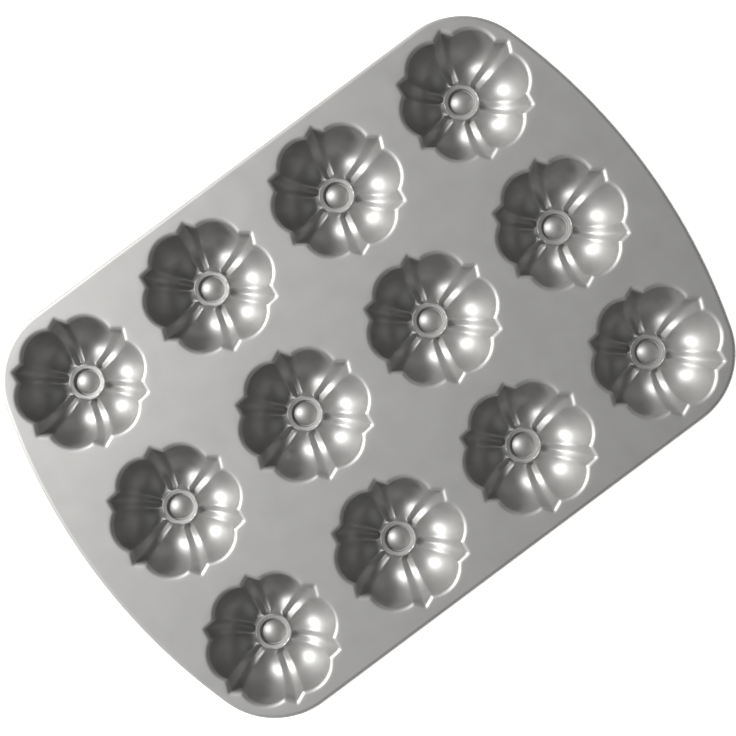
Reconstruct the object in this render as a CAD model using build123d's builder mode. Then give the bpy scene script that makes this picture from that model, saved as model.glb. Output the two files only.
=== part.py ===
from build123d import *
import os
from math import asin, cos, degrees, radians, sin, sqrt, tan

# Mini bundt pan: one cast aluminium tray with twelve fluted cake cups.
# Millimetres, +Z up. The origin is on the surface that the pan stands on, under the
# middle of the tray. +X runs along the long side and +Y along the short side.

# Tray outline: straight long sides, bowed short ends and round corners.
pan_length = 404.0
pan_width = 284.6
end_radius = 364.0
corner_radius = 48.0

# Deck plate and the down-turned skirt round it.
deck_thickness = 3.0
skirt_wall = 3.0
skirt_height = 8.0
skirt_round = 2.4
skirt_hem_round = 1.0

# Cup grid.
column_names = "abcd"
row_names = "123"
cup_pitch = 94.25
collar_radius = 42.5

# Cup section. The valley is the deepest place of a flute, and the lip turns out into the
# deck's top face.
cup_depth = 28.0
cup_wall = 3.0
foot_flat = 0.5
valley_radius = 20.5
valley_bend = 10.7
lip_radius = 2.8

# Six round flutes.
flute_count = 6
flute_angle = 45.0
flute_centre_radius = 22.4
flute_radius = 16.1
flute_crown_radius = 9.4
flute_inner_reach = 17.4

# The cusp is the ridge where a flute meets the rib beside it. In plan it is a straight
# line: its distance from the rib's centre line grows slowly from the hub to the rim.
cusp_offset = 1.88
cusp_spread = 5.5
cusp_inner_reach = 22.0

# Six narrow ribs between the flutes, each ending in a point at the rim.
rib_tip_radius = 38.9
rib_depth = 27.0
rib_valley_bend = 12.0
rib_inner_reach = 30.0

# Hub at the foot of the cup: a flat ring and a low dome, with a groove between them.
hub_radius = 11.3
hub_foot_radius = 14.0
hub_depth = 23.6
groove_radius = 8.4
groove_depth = 2.4
groove_round = 0.4
dome_radius = 7.0
dome_height = 3.2

# Heights above the surface that the pan stands on.
deck_top = cup_depth + cup_wall - foot_flat
deck_bottom = deck_top - deck_thickness
ring_top = deck_top - hub_depth
dome_foot = ring_top - groove_depth
hub_underside = dome_foot - cup_wall

# A flute's sections fan out about a pivot on its centre line, where its two cusps would
# cross, and start a little way out from it, under the hub.
sector_angle = 360.0 / flute_count
rib_angle = flute_angle + sector_angle / 2
flute_half_angle = sector_angle / 2 - cusp_spread
flute_pivot = cusp_offset / (
    sin(radians(sector_angle / 2)) - tan(radians(cusp_spread)) * cos(radians(sector_angle / 2))
)
fan_start = 3.0
rib_start = 7.0


def pan_outline(inset):
    """Plan outline of the tray, moved inward by a distance."""
    end_centre = end_radius - pan_length / 2
    Rectangle(pan_length, pan_width - 2 * inset)
    for side in (-1, 1):
        with Locations((side * end_centre, 0)):
            Circle(end_radius - inset, mode=Mode.INTERSECT)


def distance_to_circle(turn, centre_distance, radius):
    """Distance along a ray, turned off a circle's centre line, to the circle's far side."""
    across = centre_distance * sin(radians(turn))
    return centre_distance * cos(radians(turn)) + sqrt(radius**2 - across**2)


def upright_section(pivot, angle, start, valley, reach, drop, bend, inner_reach, growth, lip):
    """Half section of a cup in an upright plane that leaves a pivot at an angle.

    Two elliptic arcs meet in the valley. The outer one has the valley's bend there and
    steepens up to the lip, which turns out into the deck's top face. Without a lip the
    section stops level with the lip's foot.
    """
    outward = (cos(radians(angle)), sin(radians(angle)), 0)
    sideways = (sin(radians(angle)), -cos(radians(angle)), 0)
    section_plane = Plane(origin=(*pivot, deck_top), x_dir=outward, z_dir=sideways)
    floor = -drop - growth
    inner_height = -lip_radius - floor
    inner_turn = degrees(asin((valley - start) / inner_reach))
    wall_reach = reach + growth
    wall_width = wall_reach - valley
    wall_height = inner_height**2 / (2 * inner_height - wall_width**2 / (bend + growth))
    wall_span = sqrt((bend + growth) * wall_height)
    wall_turn = degrees(asin(wall_width / wall_span))
    with BuildSketch(section_plane) as section:
        with BuildLine():
            inner = EllipticalCenterArc(
                (valley, -lip_radius), inner_reach, inner_height, 270 - inner_turn,
                arc_size=inner_turn
            )
            outer = EllipticalCenterArc(
                (valley, floor + wall_height), wall_span, wall_height, 270, arc_size=wall_turn
            )
            if lip:
                lip_centre = (wall_reach + lip_radius, -lip_radius)
                turned_lip = CenterArc(lip_centre, lip_radius, 180, -90)
                Polyline(turned_lip @ 1, (start, 0), inner @ 0)
            else:
                Polyline(outer @ 1, (start, -lip_radius), inner @ 0)
        make_face()
    return section.sketch


def flute_section(flute_centre_angle, step, growth, lip):
    """Section of a flute, from one cusp (step -1) over its middle (0) to the other cusp (1)."""
    turn = step * flute_half_angle
    pivot = (
        flute_pivot * cos(radians(flute_centre_angle)),
        flute_pivot * sin(radians(flute_centre_angle)),
    )
    valley = (valley_radius - flute_pivot) * cos(radians(turn))
    across = (valley_radius - flute_pivot) * sin(radians(turn))
    reach = distance_to_circle(turn, flute_centre_radius - flute_pivot, flute_radius)
    drop = cup_depth - flute_crown_radius + sqrt(flute_crown_radius**2 - across**2)
    inner_reach = flute_inner_reach + abs(step) * (cusp_inner_reach - flute_inner_reach)
    return upright_section(
        pivot, flute_centre_angle + turn, fan_start, valley, reach, drop, valley_bend,
        inner_reach, growth, lip
    )


def fluted_form(growth, lip):
    """Flutes and ribs of one cup: its hollow, or grown by the wall its outside."""
    flute_steps = (-1, -0.5, 0, 0.5, 1)
    flute_sections = [flute_section(flute_angle, step, growth, lip) for step in flute_steps]
    rib_valley = valley_radius * cos(radians(sector_angle / 2))
    rib_sections = [
        flute_section(flute_angle, 1, growth, lip),
        upright_section(
            (0, 0), rib_angle, rib_start, rib_valley, rib_tip_radius, rib_depth,
            rib_valley_bend, rib_inner_reach, growth, lip
        ),
        flute_section(flute_angle + sector_angle, -1, growth, lip),
    ]
    with BuildPart() as sector:
        loft(sections=flute_sections)
        loft(sections=rib_sections, ruled=True)
    with BuildPart() as whole_turn:
        with PolarLocations(0, flute_count):
            add(sector.part)
    return whole_turn.part


# Hollow of one cup: the flutes and ribs, less the hub that stands in the middle.
hollow_form = fluted_form(0, True)
with BuildPart() as hollow:
    add(hollow_form)
    with BuildSketch(Plane.XY.offset(ring_top)):
        Circle(hub_radius)
    extrude(amount=hub_depth)
    with BuildSketch(Plane.XY.offset(hub_underside)):
        Circle((hub_radius + groove_radius) / 2)
    extrude(amount=ring_top - hub_underside)
    with BuildSketch(Plane.XZ) as hub_profile:
        with BuildLine():
            dome_curve = (dome_radius**2 + dome_height**2) / (2 * dome_height)
            dome_turn = degrees(asin(dome_radius / dome_curve))
            dome_centre = (0, dome_foot + dome_height - dome_curve)
            dome = CenterArc(dome_centre, dome_curve, 90, -dome_turn)
            Polyline(
                dome @ 1,
                (groove_radius, dome_foot),
                (groove_radius, ring_top),
                (hub_radius, ring_top),
                (hub_foot_radius, hub_underside),
                (0, hub_underside),
                dome @ 0,
            )
        make_face()
        groove_corners = hub_profile.vertices().filter_by_position(
            Axis.X, groove_radius, groove_radius
        )
        fillet(groove_corners, groove_round)
    revolve(axis=Axis.Z, mode=Mode.SUBTRACT)

# One cup: its collar in the deck, the fluted shell under it, and feet ground flat.
outside_form = fluted_form(cup_wall, False)
with BuildPart() as cup_form:
    with BuildSketch(Plane.XY.offset(deck_bottom)):
        Circle(collar_radius)
    extrude(amount=deck_thickness)
    add(outside_form)
    with BuildSketch(Plane.XY.offset(hub_underside)):
        Circle(hub_radius)
    extrude(amount=deck_bottom - hub_underside)
    add(hollow.part, mode=Mode.SUBTRACT)
    split(bisect_by=Plane.XY, keep=Keep.TOP)

os.makedirs("parts", exist_ok=True)

# The twelve cups, lettered along the long side and numbered along the short side.
for column, column_name in enumerate(column_names):
    for row, row_name in enumerate(row_names):
        cup_x = (column - (len(column_names) - 1) / 2) * cup_pitch
        cup_y = (row - (len(row_names) - 1) / 2) * cup_pitch
        with BuildPart() as cup:
            with Locations((cup_x, cup_y, 0)):
                add(cup_form.part)
        cup.part.label = f"cup_{column_name}{row_name}"
        export_step(cup.part, f"parts/{cup.part.label}.step")

# Deck plate: flat, with a round opening for each cup's collar.
with BuildPart() as deck:
    with BuildSketch(Plane.XY.offset(deck_bottom)) as deck_plan:
        pan_outline(skirt_wall)
        fillet(deck_plan.vertices(), corner_radius - skirt_wall)
        with GridLocations(cup_pitch, cup_pitch, len(column_names), len(row_names)):
            Circle(collar_radius, mode=Mode.SUBTRACT)
    extrude(amount=deck_thickness)
deck.part.label = "deck"
export_step(deck.part, "parts/deck.step")

# Skirt: the pan's edge, turned down all round, with a rounded top edge.
with BuildPart() as rim_skirt:
    with BuildSketch(Plane.XY.offset(deck_top - skirt_height)) as skirt_plan:
        pan_outline(0)
        fillet(skirt_plan.vertices(), corner_radius)
    extrude(amount=skirt_height)
    fillet(rim_skirt.edges().group_by(Axis.Z)[-1], skirt_round)
    fillet(rim_skirt.edges().group_by(Axis.Z)[0], skirt_hem_round)
    with BuildSketch(Plane.XY.offset(deck_top - skirt_height)) as inner_plan:
        pan_outline(skirt_wall)
        fillet(inner_plan.vertices(), corner_radius - skirt_wall)
    extrude(amount=skirt_height, mode=Mode.SUBTRACT)
rim_skirt.part.label = "rim_skirt"
export_step(rim_skirt.part, "parts/rim_skirt.step")
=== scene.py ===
from math import atan2, cos, pi, radians, sin, sqrt, tan

import bmesh
import bpy
import numpy as np
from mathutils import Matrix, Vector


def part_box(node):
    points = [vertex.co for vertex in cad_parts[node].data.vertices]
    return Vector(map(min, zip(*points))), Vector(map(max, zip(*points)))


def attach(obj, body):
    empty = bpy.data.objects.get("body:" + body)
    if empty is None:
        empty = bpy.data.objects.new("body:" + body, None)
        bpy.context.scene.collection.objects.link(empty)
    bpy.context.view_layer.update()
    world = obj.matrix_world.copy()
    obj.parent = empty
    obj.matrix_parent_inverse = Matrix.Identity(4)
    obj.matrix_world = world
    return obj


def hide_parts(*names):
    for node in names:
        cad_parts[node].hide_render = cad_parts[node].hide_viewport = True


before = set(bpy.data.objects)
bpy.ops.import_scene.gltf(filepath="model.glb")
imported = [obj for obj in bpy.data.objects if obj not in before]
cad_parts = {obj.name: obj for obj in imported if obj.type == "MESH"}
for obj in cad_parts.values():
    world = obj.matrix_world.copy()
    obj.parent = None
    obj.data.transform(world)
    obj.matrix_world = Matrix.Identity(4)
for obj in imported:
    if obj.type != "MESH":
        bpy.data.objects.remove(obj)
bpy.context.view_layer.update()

# Mini bundt pan: a cast aluminium tray with twelve fluted cake cups, seen from straight
# above. Everything is in metres. Places come from the frame, section sizes are named here.

MM = 0.001

# Photograph: its frame, the turn of the pan in it, and the height that it was taken from.
PHOTO_SIZE = 736
PHOTO_PAN_CENTRE = (368.7, 367.0)
PHOTO_SCALE = 0.5876 * MM
PHOTO_TURN = radians(36.75)
CAMERA_HEIGHT = 800 * MM
CAMERA_LEFT = 22 * MM

# Tray edge.
END_RADIUS = 364 * MM
CORNER_RADIUS = 48 * MM
DECK_THICKNESS = 3 * MM
SKIRT_WALL = 3 * MM
SKIRT_ROUND = 2.4 * MM
SKIRT_HEM_ROUND = 1 * MM

# Cup section. The valley is the deepest place of a flute, and a bend is how the floor
# curves there.
CUP_DEPTH = 28 * MM
CUP_WALL = 3 * MM
VALLEY_RADIUS = 20.5 * MM
VALLEY_BEND = 10.7 * MM
LIP_WIDTH = 2.9 * MM
LIP_DROP = 2.6 * MM

# Six flutes, each a round lobe in plan.
FLUTE_COUNT = 6
FLUTE_ANGLE = radians(45)
FLUTE_CENTRE_RADIUS = 22.4 * MM
FLUTE_RADIUS = 16.0 * MM
FLUTE_CROWN_RADIUS = 8.7 * MM
FLUTE_INNER_REACH = 17.4 * MM

# Cusps, the ridges between a flute and the ribs beside it. In plan they are straight, and
# those of one rib draw together where it runs into the hub.
CUSP_OFFSET = 1.88 * MM
CUSP_SPREAD = radians(5.5)
CUSP_CLOSING_RADIUS = 10.5 * MM
CUSP_OPEN_RADIUS = 13 * MM
CUSP_LEAST_OPENING = 0.02
CUSP_OPENING_POWER = 0.6
CUSP_VALLEY_RADIUS = 18.8 * MM
CUSP_RIM_RADIUS = 34.8 * MM
CUSP_INNER_REACH = 22 * MM

# Six ribs between them, pointed at the rim, with a groove that ends in a pocket at the hub.
RIB_TIP_RADIUS = 38.9 * MM
RIB_TIP_HALF_ANGLE = radians(52)
RIB_DEPTH = 27.8 * MM
RIB_VALLEY_BEND = 12 * MM
RIB_INNER_REACH = 30 * MM

# Hub: a slightly crowned ring round a low dome, with a narrow groove between them.
HUB_RADIUS = 10.9 * MM
HUB_FOOT_RADIUS = 12.6 * MM
HUB_DEPTH = 23.6 * MM
RING_RADIUS = 10.1 * MM
RING_BEND = 14 * MM
RING_INNER_RADIUS = 8.1 * MM
HUB_GROOVE_RADIUS = 7.9 * MM
HUB_GROOVE_DEPTH = 2.4 * MM
DOME_RADIUS = 7.2 * MM
DOME_HEIGHT = 3.4 * MM

# How far casting softens an edge, as an angle round the cup or a length across the hub.
RIM_SOFTNESS = radians(0.5)
LIP_SOFTNESS = radians(1.3)
VALLEY_SOFTNESS = radians(0.8)
CUSP_BLEND = 0.8 * MM
HUB_SOFTNESS = 0.12 * MM
HUB_BLEND = 0.3 * MM
SHARP_EDGE = radians(38)

# Columns of points across each rib and each flute, and the angle off a rib where they meet.
COLUMNS_ACROSS = 28
RIB_ZONE = radians(10)

# Rows of points over the hub, close together at the groove and at the hub's edge.
DOME_ROW_COUNT = 8
DOME_ROWS = (1.1 * MM, 6.5 * MM)
GROOVE_ROWS = (6.68 * MM, 9.2 * MM)
GROOVE_ROW_STEP = 0.15 * MM
RING_ROW_COUNT = 4
RING_ROWS = (9.5 * MM, 10.7 * MM)
HUB_EDGE_ROWS = (10.85 * MM, 12.1 * MM)
HUB_EDGE_ROW_STEP = 0.16 * MM

# Rows of points over the floor, the wall and the lip, and over the cup's outside.
FLOOR_ROW_COUNT = 14
WALL_ROW_COUNT = 24
LIP_ROW_COUNT = 10
OUTER_WALL_ROW_COUNT = 16
OUTER_FLOOR_ROW_COUNT = 7
HUB_DISC_ROW_COUNT = 4

# Release coat: a grey satin with fine grain and faint mottling.
COAT_COLOUR = (0.375, 0.371, 0.363)
COAT_METALLIC = 0.85
COAT_ROUGHNESS = 0.56
COAT_ROUGHNESS_SPREAD = 0.02
GRAIN_SCALE = 2600
GRAIN_DEPTH = 0.03 * MM
GRAIN_STRENGTH = 0.35
MOTTLE_SCALE = 60
MOTTLE_STRENGTH = 0.16

# Room and softbox, with places along the photograph's right and up.
ROOM_DIM = (0.06, 0.058, 0.055, 1)
ROOM_PALE = (0.66, 0.665, 0.67, 1)
ROOM_LEFT = (-1, -0.15)
ROOM_UPWARD = 0.25
SOFTBOX_PLACE = (-3.25, 0.75)
SOFTBOX_HEIGHT = 2.56
SOFTBOX_WIDTH = 0.90
SOFTBOX_LENGTH = 1.10
SOFTBOX_POWER = 335

# White paper under the pan.
PAPER_REACH = 5
PAPER_UPTURN = 0.6
PAPER_COLOUR = (0.8, 0.8, 0.8, 1)
PAPER_LIFT = 0.85


def smooth_profile(values, step, width):
    """Rounds the corners of a closed or padded profile with a bell-shaped average."""
    reach = max(1, int(round(3 * width / step)))
    offsets = np.arange(-reach, reach + 1) * step
    weights = np.exp(-0.5 * (offsets / width) ** 2)
    weights /= weights.sum()
    padded = np.concatenate([values[-reach:], values, values[:reach]])
    return np.convolve(padded, weights, mode="valid")


def angles_round_cup():
    """Angles of a cup's columns of points at its rim, closer together over the ribs."""
    half_sector = pi / FLUTE_COUNT
    across_rib = np.linspace(-RIB_ZONE, RIB_ZONE, COLUMNS_ACROSS, endpoint=False)
    across_flute = np.linspace(RIB_ZONE, 2 * half_sector - RIB_ZONE, COLUMNS_ACROSS, endpoint=False)
    one_sector = np.concatenate([across_rib, across_flute])
    first_rib = FLUTE_ANGLE + half_sector
    return np.concatenate([one_sector + first_rib + 2 * half_sector * k for k in range(FLUTE_COUNT)])


def cusp_angle(radius):
    """Angle between a rib's centre line and its cusps, at a distance from the cup's axis."""
    offset = CUSP_OFFSET + radius * tan(CUSP_SPREAD)
    opened = (radius - CUSP_CLOSING_RADIUS) / (CUSP_OPEN_RADIUS - CUSP_CLOSING_RADIUS)
    return np.arcsin(offset * np.clip(opened, CUSP_LEAST_OPENING, 1) ** CUSP_OPENING_POWER / radius)


def off_rib_centre(columns):
    """Angle of each column off its rib's centre line, and the side that it lies on."""
    half_sector = pi / FLUTE_COUNT
    off_flute = (columns - FLUTE_ANGLE + half_sector) % (2 * half_sector) - half_sector
    return half_sector - np.abs(off_flute), np.sign(off_flute)


def angles_at(columns, radius):
    """Angles of the columns at a distance from the axis, where they follow the cusps."""
    half_sector = pi / FLUTE_COUNT
    off_rib, side = off_rib_centre(columns)
    at_rim = cusp_angle(CUSP_RIM_RADIUS)
    cusp = cusp_angle(radius)
    in_rib = off_rib * cusp / at_rim
    in_flute = cusp + (off_rib - at_rim) * (half_sector - cusp) / (half_sector - at_rim)
    return columns + side * (off_rib - np.where(off_rib < at_rim, in_rib, in_flute))


def greater_of(first, second, blend):
    """The greater of two lengths, with a soft corner where they cross."""
    return 0.5 * (first + second + np.sqrt((first - second) ** 2 + blend**2))


def round_the_cup(angles, flute_rule, rib_rule, blend, softness):
    """One quantity round the cup: the greater of the flute's and the rib's, with soft corners."""
    step = radians(0.125)
    fine = np.arange(0, 2 * pi, step)
    half_sector = pi / FLUTE_COUNT
    off_flute = np.abs((fine - FLUTE_ANGLE + half_sector) % (2 * half_sector) - half_sector)
    values = greater_of(flute_rule(off_flute), rib_rule(half_sector - off_flute), blend)
    return np.interp(angles, fine, smooth_profile(values, step, softness), period=2 * pi)


def rim_outline(angles, growth, softness):
    """Radius of the cup's outline in plan, grown outward all round by a distance."""

    def flute(off):
        across = FLUTE_CENTRE_RADIUS * np.sin(off)
        return FLUTE_CENTRE_RADIUS * np.cos(off) + np.sqrt((FLUTE_RADIUS + growth) ** 2 - across**2)

    def rib(off):
        tip = RIB_TIP_RADIUS + growth / sin(RIB_TIP_HALF_ANGLE)
        return tip / (np.cos(off) + np.sin(off) / tan(RIB_TIP_HALF_ANGLE))

    return round_the_cup(angles, flute, rib, 0, softness)


def valley_place(columns):
    """Radius of the valley: a round bowl in each flute, nearer the axis in a rib."""
    angles = angles_at(columns, CUSP_VALLEY_RADIUS)
    off_rib, _ = off_rib_centre(angles)
    return VALLEY_RADIUS * np.cos(pi / FLUTE_COUNT - off_rib)


def flute_depth(off):
    """Depth of a crowned flute along its valley, at an angle off its centre line."""
    across = VALLEY_RADIUS * np.cos(off) * np.sin(off)
    crown = np.sqrt(np.maximum(FLUTE_CROWN_RADIUS**2 - across**2, 0))
    return CUP_DEPTH - FLUTE_CROWN_RADIUS + crown


def valley_depth(columns):
    """Depth of the cup in its valley: crowned flutes, and ribs with straight flanks."""
    rib_edge = cusp_angle(CUSP_VALLEY_RADIUS)
    cusp_depth = flute_depth(pi / FLUTE_COUNT - rib_edge)

    def rib(off):
        return RIB_DEPTH - (RIB_DEPTH - cusp_depth) * np.sin(off) / sin(rib_edge)

    angles = angles_at(columns, CUSP_VALLEY_RADIUS)
    return round_the_cup(angles, flute_depth, rib, CUSP_BLEND, VALLEY_SOFTNESS)


def inner_reach(columns):
    """How far the floor's curve reaches inward from the valley: short in a flute, long in a rib."""
    rib_edge = cusp_angle(CUSP_VALLEY_RADIUS)

    def flute(off):
        off_centre = off / (pi / FLUTE_COUNT - rib_edge)
        return FLUTE_INNER_REACH + (CUSP_INNER_REACH - FLUTE_INNER_REACH) * np.minimum(off_centre, 1) ** 2

    def rib(off):
        return RIB_INNER_REACH - (RIB_INNER_REACH - CUSP_INNER_REACH) * off / rib_edge

    angles = angles_at(columns, CUSP_VALLEY_RADIUS)
    return round_the_cup(angles, flute, rib, 0, VALLEY_SOFTNESS)


def valley_bend(columns):
    """How the floor curves at the valley, from a flute's bend to a rib's."""
    off_rib, _ = off_rib_centre(columns)
    nearness = 0.5 + 0.5 * np.cos(np.minimum(off_rib / cusp_angle(CUSP_RIM_RADIUS), 1) * pi)
    return VALLEY_BEND + (RIB_VALLEY_BEND - VALLEY_BEND) * nearness


def hub_height(radius):
    """Height of the hub below the deck's top face, from the dome out to the hub's foot."""
    step = 0.04 * MM
    fine = np.arange(0, VALLEY_RADIUS, step)
    groove = -HUB_DEPTH - HUB_GROOVE_DEPTH
    curve = (DOME_RADIUS**2 + DOME_HEIGHT**2) / (2 * DOME_HEIGHT)
    dome = groove + DOME_HEIGHT - curve + np.sqrt(curve**2 - np.minimum(fine, DOME_RADIUS) ** 2)
    ring = -HUB_DEPTH - (fine - RING_RADIUS) ** 2 / (2 * RING_BEND)
    groove_slope = HUB_GROOVE_DEPTH / (RING_INNER_RADIUS - HUB_GROOVE_RADIUS)
    groove_side = groove + (fine - HUB_GROOVE_RADIUS) * groove_slope
    foot_slope = (CUP_DEPTH - HUB_DEPTH) / (HUB_FOOT_RADIUS - HUB_RADIUS)
    foot_side = -HUB_DEPTH - (fine - HUB_RADIUS) * foot_slope
    outside = np.minimum(np.minimum(ring, foot_side), np.maximum(groove_side, groove))
    height = np.where(fine < DOME_RADIUS, dome, outside)
    mirrored = np.concatenate([height[::-1], height])
    return np.interp(radius, fine, smooth_profile(mirrored, step, HUB_SOFTNESS)[len(fine):])


def floor_row(columns, radius, valley, depth, reach):
    """One line round the cup's floor: its angles, radii and heights under the deck."""
    inward = np.clip((valley - radius) / reach, 0, 0.999)
    height = -LIP_DROP - (depth - LIP_DROP) * np.sqrt(1 - inward**2)
    return angles_at(columns, radius), radius, height


def wall_row(columns, level, wall, valley, depth, bend):
    """One line round the cup's wall, between the valley (level 0) and the lip (level 1)."""
    rise = depth - LIP_DROP
    height = rise**2 / (2 * rise - (wall - valley) ** 2 / bend)
    span = np.sqrt(bend * height)
    turn = np.arcsin((wall - valley) / span) * level
    radius = valley + span * np.sin(turn)
    cusp_radius = CUSP_VALLEY_RADIUS + (CUSP_RIM_RADIUS - CUSP_VALLEY_RADIUS) * sin(level * pi / 2)
    return angles_at(columns, cusp_radius), radius, height * (1 - np.cos(turn)) - depth


def cup_inside(columns):
    """Rows of (angle, radius, height) from the hub's middle out over the lip."""
    wall = rim_outline(columns, 0, RIM_SOFTNESS)
    lip = rim_outline(columns, LIP_WIDTH, LIP_SOFTNESS)
    valley = valley_place(columns)
    depth = valley_depth(columns)
    reach = inner_reach(columns)
    bend = valley_bend(columns)
    rows = []
    hub_radii = np.concatenate([
        np.linspace(*DOME_ROWS, DOME_ROW_COUNT),
        np.arange(*GROOVE_ROWS, GROOVE_ROW_STEP),
        np.linspace(*RING_ROWS, RING_ROW_COUNT),
        np.arange(*HUB_EDGE_ROWS, HUB_EDGE_ROW_STEP),
    ])
    floor_rows = [np.full_like(columns, radius) for radius in hub_radii]
    for share in np.linspace(0, 1, FLOOR_ROW_COUNT + 1)[1:]:
        floor_rows.append(hub_radii[-1] + (valley - hub_radii[-1]) * share)
    for radius in floor_rows:
        angles, radii, height = floor_row(columns, radius, valley, depth, reach)
        hub = hub_height(radius)
        if radius[0] > RING_RADIUS:
            height = greater_of(height, hub, HUB_BLEND)
        else:
            height = hub
        rows.append((angles, radii, height))
    for level in np.linspace(0, 1, WALL_ROW_COUNT + 1)[1:]:
        rows.append(wall_row(columns, level, wall, valley, depth, bend))
    for turn in np.linspace(0, pi / 2, LIP_ROW_COUNT + 1)[1:]:
        height = np.full_like(columns, -LIP_DROP * (1 - sin(turn)))
        rows.append((columns, lip - (lip - wall) * cos(turn), height))
    return rows


def cup_outside(columns, collar_radius, underside):
    """Rows of (angle, radius, height) from the collar's lower edge in under the hub."""
    wall = rim_outline(columns, CUP_WALL, LIP_SOFTNESS)
    valley = valley_place(columns)
    depth = valley_depth(columns) + CUP_WALL
    reach = inner_reach(columns)
    bend = valley_bend(columns) + CUP_WALL
    rows = [(columns, np.full_like(columns, collar_radius), np.full_like(columns, -DECK_THICKNESS))]
    for level in np.linspace(0.98, 0, OUTER_WALL_ROW_COUNT):
        rows.append(wall_row(columns, level, wall, valley, depth, bend))
    for share in np.linspace(1, 0, OUTER_FLOOR_ROW_COUNT + 1)[1:]:
        radius = HUB_RADIUS + (valley - HUB_RADIUS) * share
        rows.append(floor_row(columns, radius, valley, depth, reach))
    disc = -(HUB_DEPTH + HUB_GROOVE_DEPTH + CUP_WALL)
    for radius in np.linspace(HUB_RADIUS - 0.4 * MM, 2 * MM, HUB_DISC_ROW_COUNT):
        angles = angles_at(columns, radius)
        rows.append((angles, np.full_like(columns, radius), np.full_like(columns, disc)))
    return [(angles, radius, np.maximum(height, underside)) for angles, radius, height in rows]


def new_piece(name, points, faces, material, node):
    """A smooth-shaded mesh piece that stands for one node of the frame."""
    mesh = bpy.data.meshes.new(name)
    mesh.from_pydata(points, [], faces)
    mesh.validate()
    mesh.shade_smooth()
    mesh.set_sharp_from_angle(angle=SHARP_EDGE)
    mesh.materials.append(material)
    piece = bpy.data.objects.new(name, mesh)
    bpy.context.scene.collection.objects.link(piece)
    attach(piece, "root")
    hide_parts(node)
    return piece


def cup_shell(collar_radius, deck_top):
    """Points and faces of one closed cup, standing on the frame's origin."""
    columns = angles_round_cup()
    count = len(columns)
    collar_row = (columns, np.full_like(columns, collar_radius), np.zeros_like(columns))
    rows = cup_inside(columns) + [collar_row] + cup_outside(columns, collar_radius, -deck_top)
    hub_top = -HUB_DEPTH - HUB_GROOVE_DEPTH + DOME_HEIGHT
    points = [(0, 0, deck_top + hub_top)]
    for angles, radius, height in rows:
        points.extend(zip(radius * np.cos(angles), radius * np.sin(angles), deck_top + height))
    points.append((0, 0, points[-1][2]))
    last = len(points) - 1
    faces = []
    for column in range(count):
        beside = (column + 1) % count
        faces.append((0, 1 + column, 1 + beside))
        for row in range(len(rows) - 1):
            start = 1 + row * count
            faces.append((start + column, start + count + column, start + count + beside, start + beside))
        foot = 1 + (len(rows) - 1) * count
        faces.append((foot + column, last, foot + beside))
    return np.array(points), faces


def outline_loop(half_length, half_width, inset):
    """Points round the tray's outline, moved inward by a distance, starting on the +X side."""
    end_centre = half_length - END_RADIUS
    corner_y = half_width - CORNER_RADIUS
    corner_x = end_centre + sqrt((END_RADIUS - CORNER_RADIUS) ** 2 - corner_y**2)
    joint = atan2(corner_y, corner_x - end_centre)
    quarter = []
    for turn in np.linspace(0, joint, 12, endpoint=False):
        quarter.append((end_centre + (END_RADIUS - inset) * cos(turn), (END_RADIUS - inset) * sin(turn)))
    for turn in np.linspace(joint, pi / 2, 22):
        reach = CORNER_RADIUS - inset
        quarter.append((corner_x + reach * cos(turn), corner_y + reach * sin(turn)))
    upper = quarter + [(-x, y) for x, y in reversed(quarter)]
    return upper + [(x, -y) for x, y in reversed(upper[1:-1])]


def skirt_profile(deck_top, hem):
    """Closed profile of the skirt as (inset, height), from the deck's edge over the outside."""
    profile = [(SKIRT_WALL, deck_top)]
    for turn in np.linspace(0, pi / 2, 8):
        inset = SKIRT_ROUND * (1 - sin(turn))
        profile.append((inset, deck_top - SKIRT_ROUND * (1 - cos(turn))))
    for turn in np.linspace(0, pi / 2, 5):
        inset = SKIRT_HEM_ROUND * (1 - cos(turn))
        profile.append((inset, hem + SKIRT_HEM_ROUND * (1 - sin(turn))))
    profile.append((SKIRT_WALL, hem))
    profile.append((SKIRT_WALL, deck_top - DECK_THICKNESS))
    return profile


def skirt_shell(half_length, half_width, deck_top, hem):
    """Points and faces of the turned-down edge, swept round the outline."""
    points = []
    profile = skirt_profile(deck_top, hem)
    for inset, height in profile:
        points.extend((x, y, height) for x, y in outline_loop(half_length, half_width, inset))
    count = len(points) // len(profile)
    faces = []
    for row in range(len(profile)):
        here = row * count
        there = (row + 1) % len(profile) * count
        for column in range(count):
            beside = (column + 1) % count
            faces.append((here + column, there + column, there + beside, here + beside))
    return points, faces


def deck_shell(outline, openings, deck_top):
    """Points and faces of the deck plate: two flat faces with round openings, and its walls."""
    flat = bmesh.new()
    loops = [outline] + openings
    for loop in loops:
        corners = [flat.verts.new((x, y, 0)) for x, y in loop]
        for index, corner in enumerate(corners):
            flat.edges.new((corner, corners[(index + 1) % len(corners)]))
    bmesh.ops.triangle_fill(flat, use_beauty=True, edges=flat.edges[:], normal=(0, 0, 1))
    flat.verts.index_update()
    upper = [(v.co.x, v.co.y, deck_top) for v in flat.verts]
    lower = [(x, y, deck_top - DECK_THICKNESS) for x, y, _ in upper]
    count = len(upper)
    faces = []
    for face in flat.faces:
        corners = [v.index for v in face.verts]
        if face.normal.z < 0:
            corners.reverse()
        faces.append(corners)
        faces.append([count + index for index in reversed(corners)])
    start = 0
    for number, loop in enumerate(loops):
        for index in range(len(loop)):
            here = start + index
            beside = start + (index + 1) % len(loop)
            wall = (here, count + here, count + beside, beside)
            faces.append(wall if number == 0 else wall[::-1])
        start += len(loop)
    flat.free()
    return upper + lower, faces


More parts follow.
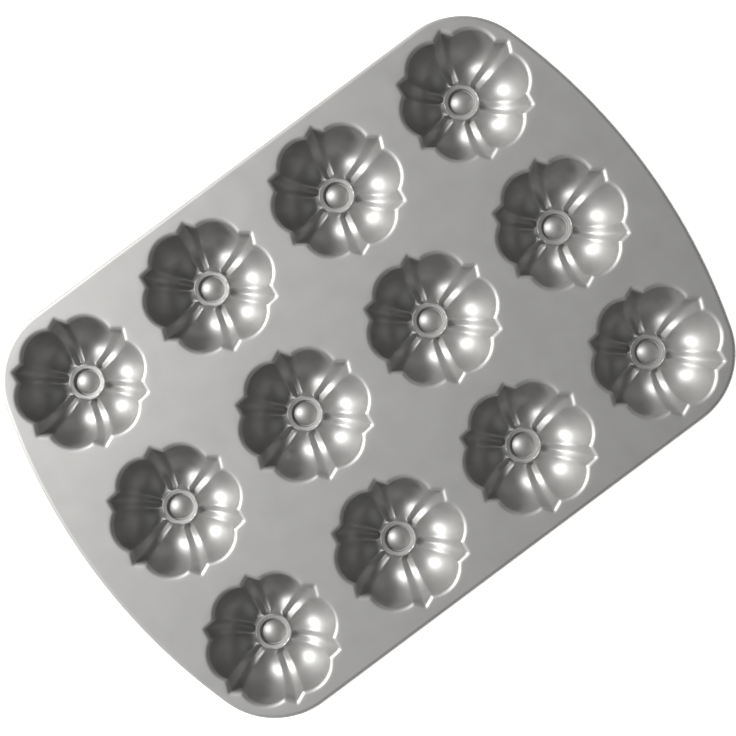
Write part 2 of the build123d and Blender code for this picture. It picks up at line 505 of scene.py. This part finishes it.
def coat_grain_group():
    """Fine sprayed grain and faint mottling of the release coat."""
    group = bpy.data.node_groups.new("coat grain", "ShaderNodeTree")
    group.interface.new_socket("Grain Size", in_out="INPUT", socket_type="NodeSocketFloat")
    group.interface.new_socket("Mottle Size", in_out="INPUT", socket_type="NodeSocketFloat")
    group.interface.new_socket("Colour", in_out="INPUT", socket_type="NodeSocketColor")
    group.interface.new_socket("Mottle", in_out="INPUT", socket_type="NodeSocketFloat")
    group.interface.new_socket("Colour", in_out="OUTPUT", socket_type="NodeSocketColor")
    group.interface.new_socket("Height", in_out="OUTPUT", socket_type="NodeSocketFloat")
    group.interface.new_socket("Mask", in_out="OUTPUT", socket_type="NodeSocketFloat")
    nodes, links = group.nodes, group.links
    inputs = nodes.new("NodeGroupInput")
    outputs = nodes.new("NodeGroupOutput")
    place = nodes.new("ShaderNodeTexCoord")
    grain = nodes.new("ShaderNodeTexNoise")
    grain.inputs["Detail"].default_value = 3
    grain.inputs["Roughness"].default_value = 0.6
    mottle = nodes.new("ShaderNodeTexNoise")
    mottle.inputs["Detail"].default_value = 4
    mottle.inputs["Roughness"].default_value = 0.55
    links.new(place.outputs["Object"], grain.inputs["Vector"])
    links.new(place.outputs["Object"], mottle.inputs["Vector"])
    links.new(inputs.outputs["Grain Size"], grain.inputs["Scale"])
    links.new(inputs.outputs["Mottle Size"], mottle.inputs["Scale"])
    centred = nodes.new("ShaderNodeMath")
    centred.operation = "SUBTRACT"
    centred.inputs[1].default_value = 0.5
    links.new(mottle.outputs["Fac"], centred.inputs[0])
    spread = nodes.new("ShaderNodeMath")
    spread.operation = "MULTIPLY"
    links.new(centred.outputs[0], spread.inputs[0])
    links.new(inputs.outputs["Mottle"], spread.inputs[1])
    level = nodes.new("ShaderNodeMath")
    level.operation = "ADD"
    level.inputs[1].default_value = 1
    links.new(spread.outputs[0], level.inputs[0])
    tint = nodes.new("ShaderNodeVectorMath")
    tint.operation = "SCALE"
    links.new(inputs.outputs["Colour"], tint.inputs[0])
    links.new(level.outputs[0], tint.inputs["Scale"])
    links.new(tint.outputs[0], outputs.inputs["Colour"])
    links.new(grain.outputs["Fac"], outputs.inputs["Height"])
    links.new(mottle.outputs["Fac"], outputs.inputs["Mask"])
    return group


def release_coat(grain_group):
    """Satin release coat over cast aluminium."""
    material = bpy.data.materials.new("satin release coat")
    material.use_nodes = True
    nodes, links = material.node_tree.nodes, material.node_tree.links
    shader = nodes["Principled BSDF"]
    shader.inputs["Metallic"].default_value = COAT_METALLIC
    grain = nodes.new("ShaderNodeGroup")
    grain.node_tree = grain_group
    grain.inputs["Grain Size"].default_value = GRAIN_SCALE
    grain.inputs["Mottle Size"].default_value = MOTTLE_SCALE
    grain.inputs["Colour"].default_value = (*COAT_COLOUR, 1)
    grain.inputs["Mottle"].default_value = MOTTLE_STRENGTH
    links.new(grain.outputs["Colour"], shader.inputs["Base Color"])
    gloss = nodes.new("ShaderNodeMapRange")
    gloss.inputs["To Min"].default_value = COAT_ROUGHNESS - COAT_ROUGHNESS_SPREAD
    gloss.inputs["To Max"].default_value = COAT_ROUGHNESS + COAT_ROUGHNESS_SPREAD
    links.new(grain.outputs["Mask"], gloss.inputs["Value"])
    links.new(gloss.outputs["Result"], shader.inputs["Roughness"])
    bump = nodes.new("ShaderNodeBump")
    bump.inputs["Strength"].default_value = GRAIN_STRENGTH
    bump.inputs["Distance"].default_value = GRAIN_DEPTH
    links.new(grain.outputs["Height"], bump.inputs["Height"])
    links.new(bump.outputs["Normal"], shader.inputs["Normal"])
    return material


def make_cups(material, deck_top):
    """The twelve cups, each where its node is, and the plan of the openings they fill."""
    openings = []
    shell = None
    for node in sorted(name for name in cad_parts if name.startswith("cup_")):
        low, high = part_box(node)
        centre = np.array([(low[0] + high[0]) / 2, (low[1] + high[1]) / 2, 0])
        if shell is None:
            collar_radius = (high[1] - low[1]) / 2
            shell, faces = cup_shell(collar_radius, deck_top)
        new_piece("cake_" + node, (shell + centre).tolist(), faces, material, node)
        edge = [(centre[0] + collar_radius * cos(a), centre[1] + collar_radius * sin(a))
                for a in angles_round_cup()]
        openings.append(edge)
    return openings


def make_tray():
    """Cups, deck and skirt."""
    coat = release_coat(coat_grain_group())
    low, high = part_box("rim_skirt")
    deck_top = high[2]
    openings = make_cups(coat, deck_top)
    points, faces = skirt_shell(high[0], high[1], deck_top, low[2])
    new_piece("turned_rim", points, faces, coat, "rim_skirt")
    outline = outline_loop(high[0], high[1], SKIRT_WALL)
    points, faces = deck_shell(outline, openings, deck_top)
    new_piece("deck_plate", points, faces, coat, "deck")
    return deck_top


def make_camera(deck_top):
    """Camera straight above the pan, turned as the photograph is."""
    data = bpy.data.cameras.new("camera")
    data.sensor_fit = "HORIZONTAL"
    data.angle = 2 * atan2(PHOTO_SIZE / 2 * PHOTO_SCALE, CAMERA_HEIGHT)
    data.shift_x = CAMERA_LEFT / (PHOTO_SIZE * PHOTO_SCALE)
    camera = bpy.data.objects.new("camera", data)
    right = (PHOTO_SIZE / 2 - PHOTO_PAN_CENTRE[0]) * PHOTO_SCALE - CAMERA_LEFT
    up = (PHOTO_PAN_CENTRE[1] - PHOTO_SIZE / 2) * PHOTO_SCALE
    turn = -PHOTO_TURN
    camera.location = (
        right * cos(turn) - up * sin(turn), right * sin(turn) + up * cos(turn), deck_top + CAMERA_HEIGHT
    )
    camera.rotation_euler = (0, 0, turn)
    bpy.context.scene.collection.objects.link(camera)
    bpy.context.scene.camera = camera


def in_photo(right, up):
    """Level direction or place given along the photograph's right and up."""
    turn = -PHOTO_TURN
    return right * cos(turn) - up * sin(turn), right * sin(turn) + up * cos(turn)


def make_softbox():
    """Softbox up on the photograph's left, aimed at the pan's middle."""
    data = bpy.data.lights.new("left softbox", "AREA")
    data.shape = "RECTANGLE"
    data.size = SOFTBOX_WIDTH
    data.size_y = SOFTBOX_LENGTH
    data.energy = SOFTBOX_POWER
    light = bpy.data.objects.new("left softbox", data)
    light.location = (*in_photo(*SOFTBOX_PLACE), SOFTBOX_HEIGHT)
    light.rotation_euler = light.location.to_track_quat("Z", "Y").to_euler()
    bpy.context.scene.collection.objects.link(light)


def make_room():
    """Dim room that is paler to the photograph's left."""
    world = bpy.data.worlds.new("room")
    bpy.context.scene.world = world
    world.use_nodes = True
    nodes, links = world.node_tree.nodes, world.node_tree.links
    ground = nodes["Background"]
    place = nodes.new("ShaderNodeTexCoord")
    side = nodes.new("ShaderNodeVectorMath")
    side.operation = "DOT_PRODUCT"
    side.inputs[1].default_value = (*in_photo(*ROOM_LEFT), ROOM_UPWARD)
    links.new(place.outputs["Generated"], side.inputs[0])
    ramp = nodes.new("ShaderNodeValToRGB")
    ramp.color_ramp.elements[0].position = 0.25
    ramp.color_ramp.elements[0].color = ROOM_DIM
    ramp.color_ramp.elements[1].position = 0.95
    ramp.color_ramp.elements[1].color = ROOM_PALE
    spread = nodes.new("ShaderNodeMapRange")
    spread.inputs["From Min"].default_value = -1
    spread.inputs["From Max"].default_value = 1
    links.new(side.outputs["Value"], spread.inputs["Value"])
    links.new(spread.outputs["Result"], ramp.inputs["Fac"])
    links.new(ramp.outputs["Color"], ground.inputs["Color"])


def make_floor():
    """White paper under the pan, turned up far away. The camera and the metal see it lifted
    to white, and it keeps the pan's shadow."""
    mesh = bpy.data.meshes.new("floor")
    corners = [(x * PAPER_REACH, y * PAPER_REACH) for x, y in ((-1, -1), (1, -1), (1, 1), (-1, 1))]
    points = [(x, y, height) for height in (0, PAPER_UPTURN) for x, y in corners]
    faces = [(0, 1, 2, 3)] + [(k, k + 4, (k + 1) % 4 + 4, (k + 1) % 4) for k in range(4)]
    mesh.from_pydata(points, [], faces)
    material = bpy.data.materials.new("white floor")
    material.use_nodes = True
    nodes, links = material.node_tree.nodes, material.node_tree.links
    shader = nodes["Principled BSDF"]
    shader.inputs["Base Color"].default_value = PAPER_COLOUR
    shader.inputs["Roughness"].default_value = 0.9
    path = nodes.new("ShaderNodeLightPath")
    seen = nodes.new("ShaderNodeMath")
    seen.operation = "MAXIMUM"
    links.new(path.outputs["Is Camera Ray"], seen.inputs[0])
    links.new(path.outputs["Is Glossy Ray"], seen.inputs[1])
    lift = nodes.new("ShaderNodeMath")
    lift.operation = "MULTIPLY"
    lift.inputs[1].default_value = PAPER_LIFT
    links.new(seen.outputs[0], lift.inputs[0])
    links.new(lift.outputs[0], shader.inputs["Emission Strength"])
    shader.inputs["Emission Color"].default_value = (1, 1, 1, 1)
    mesh.materials.append(material)
    floor = bpy.data.objects.new("floor", mesh)
    bpy.context.scene.collection.objects.link(floor)


deck_height = make_tray()
make_camera(deck_height)
make_floor()
make_room()
make_softbox()
bpy.context.scene.view_settings.view_transform = "Standard"
